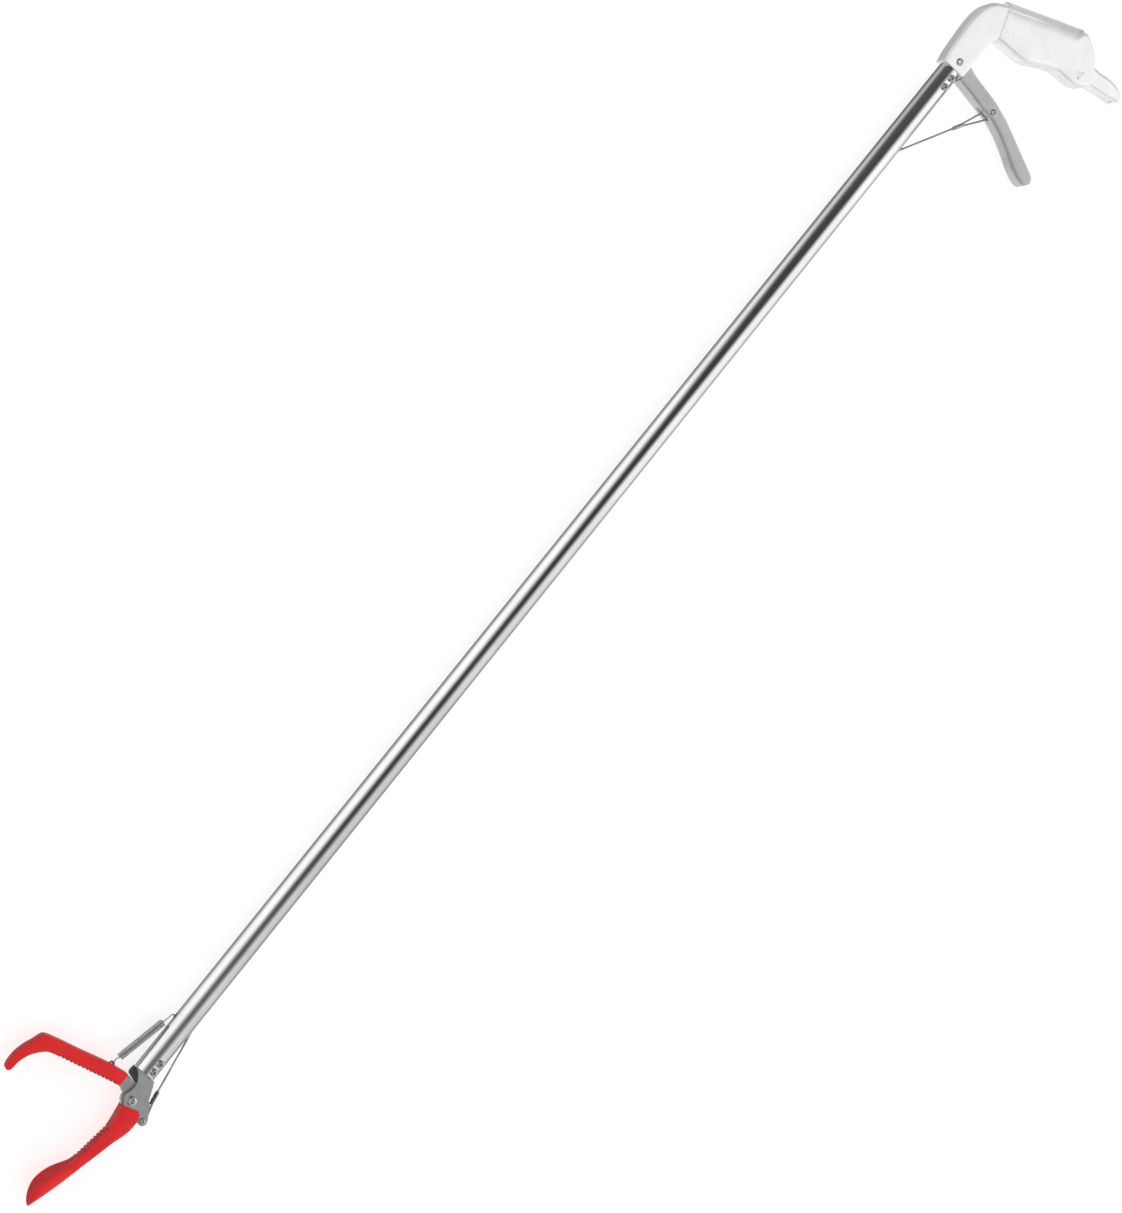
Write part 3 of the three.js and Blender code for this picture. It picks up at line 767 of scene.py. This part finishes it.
def spring():
    pitch = 2 * SPRING_WIRE + 0.04
    top, foot = toward(COIL_TOP, COIL_FOOT, TURN_LENGTH), toward(COIL_FOOT, COIL_TOP, TURN_LENGTH)
    body = wire(coil(foot, top, pitch), SPRING_WIRE, 8)
    piece = place(body, "spring_body", None, "zinc_plate", ["spring_coil"], SPRING_LOOK)
    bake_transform(piece)

    x, y = SPRING_HOOK
    start = toward(COIL_TOP, SPRING_HOOK, 0.2)
    bend = toward(COIL_TOP, SPRING_HOOK, 5.4)
    hook = smooth(level([start, bend, (x - 0.9, y + 0.1), (x, y - 1.4), (x - 0.3, y - 4.6)]), 6)
    top_hook = wire(hook, SPRING_WIRE)
    place(top_hook, "spring_hook_top", "spring_top", "zinc_plate", ["spring_hook_upper"], SPRING_LOOK)

    upper = wire([*coil(top, COIL_TOP, pitch), (*COIL_TOP, 0), (*start, 0)], SPRING_WIRE, 8)
    place(upper, "spring_turns_top", "spring_head", "zinc_plate", ["spring_turn_upper"], SPRING_LOOK)

    x, y = EYELET
    facing = math.atan2(*(SPRING_HOOK - EYELET)[::-1])
    bow = 1.75
    loop = [
        (x + 2.1 + bow * math.cos(t), y - 0.2, bow * math.sin(t))
        for t in np.linspace(facing + 0.5, facing + 4.7, 7)
    ]
    lower_hook = smooth(level([(*toward(COIL_FOOT, EYELET, 0.3),), *loop]), 5)
    foot_hook = wire(lower_hook, SPRING_WIRE)
    place(foot_hook, "spring_hook_foot", "spring_foot", "zinc_plate", ["spring_hook_lower"], SPRING_LOOK)

    lower = wire([(*COIL_FOOT, 0), *coil(COIL_FOOT, foot, pitch)], SPRING_WIRE, 8)
    place(lower, "spring_turns_foot", "spring_foot", "zinc_plate", ["spring_turn_lower"], SPRING_LOOK)


def spring_eyelet():
    x, y = EYELET
    bow = 1.7
    arc = [(x + 1.5 * math.cos(t), y + bow * math.sin(t)) for t in np.linspace(-math.pi / 2, math.pi / 2, 9)]
    path = smooth(level([(x - 2.2, y - bow), *arc, (x - 2.6, y + bow)]), 3)
    place(wire(path, 0.7, 12), "spring_staple", "jaw", "dark_steel", ["spring_eyelet"])


# ---------------------------------------------------------------- cable

LOWER_PULL = toward(np.zeros(2), np.array(LOWER_PASS) - TAIL_PIN, 1)
UPPER_PULL = toward(np.zeros(2), np.array(UPPER_PASS) - TRIGGER_PIN, 1)


def rope_eye(pin, pull, reach, bow):
    """Two legs from the ferrule and a bow round the pin."""
    side = np.array([-pull[1], pull[0]])
    angles = np.linspace(1.25, 2 * math.pi - 1.25, 9)
    path = [
        (reach + 1, 0.8), (reach - 1.5, 1.15), *[(bow * math.cos(t), bow * math.sin(t)) for t in angles],
        (reach - 1.5, -1.15), (reach + 1, -0.8),
    ]
    return smooth(level([pin + pull * a + side * b for a, b in path]), 6)


def ferrule(pin, pull, start):
    """A crimped sleeve: an oval tube with three pressed grooves and rounded ends."""
    run = np.linspace(0, 1, 45)
    radius = FERRULE_RADIUS * (1 - 0.14 * np.exp(-(((run * 3) % 1 - 0.5) ** 2) / 0.012))
    radius *= np.clip(np.minimum(run, 1 - run) * 18, 0.55, 1) ** 0.5
    ends = [pin + pull * (start + 0.3), pin + pull * (start + FERRULE_LENGTH - 0.3)]
    path = [(*(ends[0] + (ends[1] - ends[0]) * t), 0) for t in run]
    obj = wire(path, radius, 20)
    obj.data.transform(Matrix.Scale(0.86, 4, (0, 0, 1)))
    return obj


def cables():
    runs = [
        ("lower", TAIL_PIN, LOWER_PULL, LOWER_EYE_REACH, LOWER_EYE_BOW, LOWER_LENGTH, "cable_bottom"),
        ("upper", TRIGGER_PIN, UPPER_PULL, UPPER_EYE_REACH, UPPER_EYE_BOW, UPPER_LENGTH, "cable_top"),
    ]
    for end, pin, pull, reach, bow, length, body in runs:
        eye = rope(rope_eye(pin, pull, reach, bow), ROPE_RADIUS)
        place(eye, f"cable_loop_{end}", body, "rope_steel", [f"cable_eye_{end}"])
        sleeve = ferrule(pin, pull, reach)
        # Both ferrules are one dark steel part; the upper one is given paler zinc as painted light, since
        # light falls brighter on it there.
        look = LOOKS["dark_steel" if end == "lower" else "zinc_plate"]
        place(sleeve, f"cable_sleeve_{end}", body, "dark_steel", [f"cable_ferrule_{end}"], look)
        path = level([pin + pull * (reach + FERRULE_LENGTH - 1), pin + pull * length])
        place(rope(path, ROPE_RADIUS), f"cable_run_{end}", body, "rope_steel", [f"cable_{end}"])


# ---------------------------------------------------------------- handle


def section(back, edge, bend, lip, gap, half, spread):
    """Half of a folded sheet's cross-section, from its free edge at z = gap, round the lip, over the
    near cheek and round the bend to the web, as (x, y, z). Spread widens the bend to an ellipse."""
    width = np.linalg.norm(back - edge)
    out = (back - edge) / width
    lip, bend = min(lip, half - gap, 0.4 * width), min(bend, half - 0.1, 0.55 * width / spread)
    made = [(*edge, gap), (*edge, (gap + half - lip) / 2)]
    for t in np.linspace(0, math.pi / 2, 6):
        made.append((*(edge + out * lip * (1 - math.cos(t))), half - lip + lip * math.sin(t)))
    start, end = edge + out * lip, back - out * bend * spread
    made += [(*(start + (end - start) * t), half) for t in np.linspace(0, 1, 7)[1:-1]]
    for t in np.linspace(0, math.pi / 2, 12):
        made.append((*(end + out * bend * spread * math.sin(t)), half - bend + bend * math.cos(t)))
    return made


def channel(stations, half, sheet, spread=1.0):
    """A folded sheet. Each station has the web's place, the free edge's place, the bend's radius,
    the lip's radius and how far from the mid-plane the free edge stops."""
    rows = []
    for station in smooth(stations, 5):
        near = section(station[0:2], station[2:4], *station[4:7], half, spread)
        rows.append([*near, *[(x, y, -z) for x, y, z in near[::-1]]])
    n = len(rows[0])
    faces = [
        (k * n + i, (k + 1) * n + i, (k + 1) * n + i + 1, k * n + i + 1)
        for k in range(len(rows) - 1)
        for i in range(n - 1)
    ]
    obj = skin([p for row in rows for p in row], faces)
    wall = obj.modifiers.new("wall", "SOLIDIFY")
    wall.thickness = sheet
    wall.offset = -1
    return bevel(settle(obj), 0.22, 2, 60)


# Along the handle: web x, web y, free edge x, free edge y, bend, lip, half gap.
FRAME_STATIONS = [
    (1021, 10.9, 1021, -9.6, 1.8, 0.1, 9.1),
    (1030, 12.4, 1032, -9.8, 1.8, 0.1, 9.1),
    (1045, 13.7, 1046, -9.8, 2.0, 0.1, 9.1),
    (1060, 14.5, 1058, -10.6, 2.6, 0.1, 9.1),
    (1070, 14.2, 1065, -12.4, 3.6, 0.3, 8.9),
    (1078, 12.3, 1069.5, -16, 4.0, 2.0, 7.0),
    (1084.5, 8, 1071, -21, 4.0, 3.0, 6.0),
    (1089.5, 1, 1072, -27, 4.0, 3.0, 6.0),
    (1103, -27, 1076, -42, 4.0, 3.0, 5.0),
    (1110.5, -48, 1082, -56, 4.0, 3.0, 4.0),
    (1111.5, -68, 1088, -75, 4.0, 3.0, 2.4),
    (1107.4, -86, 1091.5, -89, 4.0, 3.0, 0.5),
    (1107.8, -97, 1093.4, -99, 4.0, 3.0, 0.5),
    (1109.6, -107, 1095.8, -109.5, 4.0, 3.0, 0.8),
    (1109.2, -116, 1097.6, -117.6, 3.6, 3.0, 3.4),
    (1106.2, -122.4, 1098.8, -122.6, 2.4, 2.2, 3.6),
    (1101.4, -125.2, 1099.2, -124.4, 0.8, 0.8, 3.2),
]


def handle_frame():
    obj = channel(FRAME_STATIONS, FRAME_HALF, SHEET)
    cut(obj, prism(VENT, 5, 12))
    place(obj, "handle_channel", "stick", "pressed_steel", ["handle_frame"])

    plate = prism([(-9.4, -8.8), (10.6, -8.8), (10.6, 8.8), (-9.4, 8.8)], 1020.4, 1021.6)
    plate.data.transform(Matrix(((0, 0, 1, 0), (1, 0, 0, 0), (0, 1, 0, 0), (0, 0, 0, 1))))
    place(bevel(plate, 0.35), "handle_shoulder", "stick", "pressed_steel", [], flat=True)


# The cover's lower front corner has a small triangular cut with its tongue bent up.
VENT = [(1092.2, -79.8), (1097, -86.6), (1087.4, -85.6)]
COVER_STATIONS = [
    (1095.4, -1.6, 1064.6, -13, 8.6, 3.6, 0.5),
    (1099, -9.4, 1065.2, -19, 9.2, 3.6, 1.2),
    (1104.6, -21.2, 1066, -27, 9.4, 3.6, 3.6),
    (1110, -32.8, 1067, -38, 9.4, 3.6, 3.4),
    (1115, -43.6, 1069.8, -46, 9.4, 3.6, 1.4),
    (1118.6, -51.6, 1075.4, -55, 9.4, 3.6, 0.4),
    (1121, -57, 1078.8, -61, 9.2, 3.6, 0.4),
    (1122.8, -61.6, 1081.6, -67, 8.6, 3.6, 0.6),
    (1123, -66.4, 1082.2, -73, 3.4, 3.6, 2.6),
    (1120.4, -73, 1082.6, -80, 1.4, 3.6, 2.6),
    (1116.4, -79.6, 1083.8, -86, 1.3, 3.6, 0.8),
    (1111.6, -86, 1086.4, -91, 1.3, 3.2, 0.4),
    (1103.8, -92, 1089.4, -95, 1.3, 2.6, 0.4),
    (1096.6, -95.6, 1092.6, -96.8, 1.2, 1.2, 0.4),
]


def grip_cover():
    obj = channel(COVER_STATIONS, COVER_HALF, COVER_SHEET, 1.8)
    reach = COVER_HALF - COVER_SHEET - 0.2
    open_back = [(1130, -65.2), (1112, -65.2), (1098, -84), (1091, -93), (1091, -110), (1130, -110)]
    cut(obj, prism(open_back, -reach, reach), prism(VENT, 7, 12))
    tongue = prism([(1097.6, -87.2), (1097.4, -88.2), (1087.2, -87.4), (1087, -86.4)], 9.6, 11.4)
    tongue = bevel(tongue, 0.2, 2)
    for vertex in tongue.data.vertices:
        vertex.co.z = min(vertex.co.z, COVER_HALF - 0.02)
    place(gather(obj, tongue), "grip_palm_cover", "stick", "pressed_steel", ["grip_cover"])


TRIGGER_STATIONS = [
    (993.8, -107.2, 997.4, -109.2, 0.8, 0.1, 7.6),
    (992.6, -104, 1001.2, -107.6, 2.0, 0.1, 7.6),
    (993.4, -98.5, 1004.3, -102.4, 2.4, 0.1, 7.6),
    (996.8, -89.5, 1008.3, -92.6, 2.4, 0.1, 7.6),
    (1002.3, -79, 1012.5, -82.4, 2.4, 0.1, 7.6),
    (1007, -69, 1016.8, -71.7, 2.4, 0.1, 7.6),
    (1010.6, -60, 1021, -61.2, 2.4, 0.1, 7.6),
    (1013.1, -51, 1023.8, -51.5, 2.4, 0.1, 7.6),
    (1013.6, -46, 1025.4, -46, 2.4, 0.1, 7.6),
    (1015.4, -32, 1027.6, -32, 2.4, 0.1, 7.6),
    (1017.2, -18, 1029.6, -18, 2.4, 0.1, 7.6),
    (1018.4, -8, 1032.6, -8, 2.0, 0.1, 7.6),
    (1019, -1, 1033.9, -1, 1.6, 0.1, 7.6),
    (1020.2, 4.2, 1032.6, 4, 1.4, 0.1, 7.6),
    (1022.6, 6.2, 1029.6, 6.2, 1.2, 0.1, 7.6),
]


def trigger():
    obj = channel(TRIGGER_STATIONS, TRIGGER_HALF, SHEET)
    slot = prism([(1008, -51.4), (1017.5, -51.4), (1017.5, -37.4), (1008, -37.4)], -2.4, 2.4)
    cut(obj, slot, prism([(1010, -10.2), (1022.2, -10.2), (1022.2, 10), (1010, 10)], -12, 12))
    place(obj, "trigger_channel", "trigger", "pressed_steel", ["trigger"], TRIGGER_LOOK)


def pins():
    gap = 0.05
    rivet("jaw_pivot_rolled", "jaw_pivot_pin", JAW_PIVOT, "stick", FORK_OUTER + gap, 3.8, 1.1, 2.2)
    rivet("tail_pin_rolled", "tail_pin", TAIL_PIN, "jaw", LEVER_HALF + gap, 2.6, 0.95, 1.5)
    rivet(
        "trigger_pivot_rolled", "trigger_pivot_pin", TRIGGER_PIVOT, "stick", FRAME_HALF + gap, 3.2, 1.0, 2.0
    )
    rivet("cable_pin_rolled", "trigger_cable_pin", TRIGGER_PIN, "trigger", TRIGGER_HALF + gap, 3.0, 1.0, 1.6)


# ---------------------------------------------------------------- camera, floor and light

SENSOR, LENS = 36.0, 89.04
VIEW_DIRECTION = Vector((-0.17, 0.28, 0.945)).normalized()  # from the tool to the camera
TUBE_SLOPE = math.radians(51.33)  # the tube's angle above the picture's horizontal
CAMERA_PLACE = Vector((97.667, 617.522, 2173.147))  # in the tool's millimetres
AMBIENT = 0.3  # the even light that reaches matt surfaces from all round
ROUND_ANGLE = math.atan2(VIEW_DIRECTION.y, VIEW_DIRECTION.z)  # of the camera, round the tube


def camera():
    along = Vector((1, 0, 0))
    across = (along - VIEW_DIRECTION * along.dot(VIEW_DIRECTION)).normalized()
    up = VIEW_DIRECTION.cross(across)
    right = across * math.cos(TUBE_SLOPE) - up * math.sin(TUBE_SLOPE)
    top = across * math.sin(TUBE_SLOPE) + up * math.cos(TUBE_SLOPE)
    made = bpy.data.cameras.new("camera")
    made.sensor_width = SENSOR
    made.lens = LENS
    obj = bpy.data.objects.new("camera", made)
    obj.matrix_world = Matrix.Translation(ORIGIN + CAMERA_PLACE * MM) @ (
        Matrix((right, top, VIEW_DIRECTION)).transposed().to_4x4()
    )
    bpy.context.scene.collection.objects.link(obj)
    bpy.context.scene.camera = obj


def floor():
    size = FLOOR_SIZE
    obj = solid([(-size, -size, 0), (size, -size, 0), (size, size, 0), (-size, size, 0)], [(0, 1, 2, 3)])
    obj.name = "floor"
    obj.location.z = -FLOOR_DROP
    obj.data.materials.append(floor_paper())
    obj.visible_glossy = False  # the dome's lower half is what polished metal mirrors instead


def dome():
    """The dome that polished metal mirrors: two pale sides along the tool, a dark gap between them
    over the camera, and a paler band underneath in place of the floor. Its shape is fitted to the
    stripes on the photographed tube. Diffuse rays get the even strength AMBIENT instead. Angles are
    degrees round the tool's length from the camera's side, positive to the back of the handle; lean
    is how far a direction points along the tool."""
    world = bpy.data.worlds.new("dome")
    bpy.context.scene.world = world
    world.use_nodes = True
    tree = world.node_tree
    nodes, links = tree.nodes, tree.links

    def math_node(operation, a, b=0.0):
        made = nodes.new("ShaderNodeMath")
        made.operation = operation
        for socket, value in zip(made.inputs, (a, b)):
            if isinstance(value, (int, float)):
                socket.default_value = value
            else:
                links.new(value, socket)
        return made.outputs[0]

    def rise(value, start, end, low=0.0, high=1.0):
        made = nodes.new("ShaderNodeMapRange")
        made.interpolation_type = "SMOOTHSTEP"
        given = {"Value": value, "From Min": start, "From Max": end, "To Min": low, "To Max": high}
        for key, number in given.items():
            if isinstance(number, (int, float)):
                made.inputs[key].default_value = number
            else:
                links.new(number, made.inputs[key])
        return made.outputs["Result"]

    def times(a, b):
        return math_node("MULTIPLY", a, b)

    def plus(a, b):
        return math_node("ADD", a, b)

    way = nodes.new("ShaderNodeSeparateXYZ")
    links.new(nodes.new("ShaderNodeTexCoord").outputs["Generated"], way.inputs[0])
    lean = way.outputs["X"]
    turn = math_node("ARCTAN2", way.outputs["Y"], way.outputs["Z"])
    turn = times(math_node("SUBTRACT", turn, ROUND_ANGLE), 180 / math.pi)
    turn = math_node("WRAP", turn, 180)
    turn.node.inputs[2].default_value = -180

    back_start = rise(lean, 0.16, 0.38, -3, 46)
    back = times(rise(turn, back_start, plus(back_start, 50)), rise(turn, 80, 110, 1.0, 0.38))
    back = times(back, rise(turn, 118, 142, 1.0, 0.1))
    back = times(back, plus(rise(lean, -0.1, 0.1, 0.95, 1.2), rise(lean, 0.24, 0.4, 0.0, -0.6)))

    away = times(turn, -1)
    front_start = rise(lean, 0.36, 0.44, 17, 5)
    front = times(rise(away, front_start, plus(front_start, 44)), rise(away, 92, 122, 1.0, 0.6))
    front = times(front, rise(away, 125, 155, 1.0, 0.15))
    front = times(front, rise(lean, 0.05, 0.3, 0.68, 1.16))
    front = times(front, rise(times(lean, -1), 0.08, 0.25, 1.0, 0.8))

    gap = plus(rise(lean, -0.06, 0.09, 0.2, 0.05), rise(lean, 0.3, 0.4, 0.0, 0.05))
    gap = times(gap, rise(math_node("ABSOLUTE", turn), 40, 90, 1.0, 0.4))
    light = plus(gap, plus(back, front))
    light = times(light, rise(lean, 0.5, 0.85, 1.0, 0.16))
    toward_jaws = times(lean, -1)
    light = times(light, rise(toward_jaws, 0.45, 0.85, 1.0, 0.35))
    below = times(rise(toward_jaws, 0.12, 0.3, 0.0, 0.4), rise(math_node("ABSOLUTE", turn), 95, 150))
    light = plus(light, times(below, rise(toward_jaws, 0.55, 0.9, 1.0, 0.2)))
    light = plus(light, rise(math_node("ABSOLUTE", turn), 142, 162, 0.0, 0.6))
    diffuse = nodes.new("ShaderNodeLightPath").outputs["Is Diffuse Ray"]
    mirrored = times(light, math_node("SUBTRACT", 1.0, diffuse))
    background = nodes["Background"]
    links.new(plus(mirrored, times(diffuse, AMBIENT)), background.inputs["Strength"])
    background.inputs["Color"].default_value = (1.0, 1.0, 1.0, 1)


def key_light():
    """Overhead light for the matt share of every surface. It is not mirrored and casts no shadow, so
    the only shading on the floor is from the dome's even light."""
    made = bpy.data.lights.new("key", "SUN")
    made.energy = 2.75
    made.angle = math.radians(70)
    made.use_shadow = False
    obj = bpy.data.objects.new("key", made)
    obj.rotation_euler = (math.radians(24), math.radians(-8), 0)
    obj.visible_glossy = False
    bpy.context.scene.collection.objects.link(obj)


# ---------------------------------------------------------------- the tool

camera()
floor()
dome()
key_light()
bpy.context.scene.view_settings.view_transform = "Standard"

tube()
fork_cheek("fork_cheek_near", 1, CHEEK_NOTCH)
fork_cheek("fork_cheek_far", -1, FAR_NOTCH)
fork_painted_shade()
tube_rivets()
upper_jaw()
jaw_lever()
lower_jaw()
spring()
spring_eyelet()
cables()
handle_frame()
grip_cover()
trigger()
pins()

for node in ("pivot_spacer_near", "pivot_spacer_far", "cable_bush"):
    dress(frame["nodes"][node], LOOKS["zinc_plate"])
dress(frame["nodes"]["cable_inner"], LOOKS["rope_steel"])
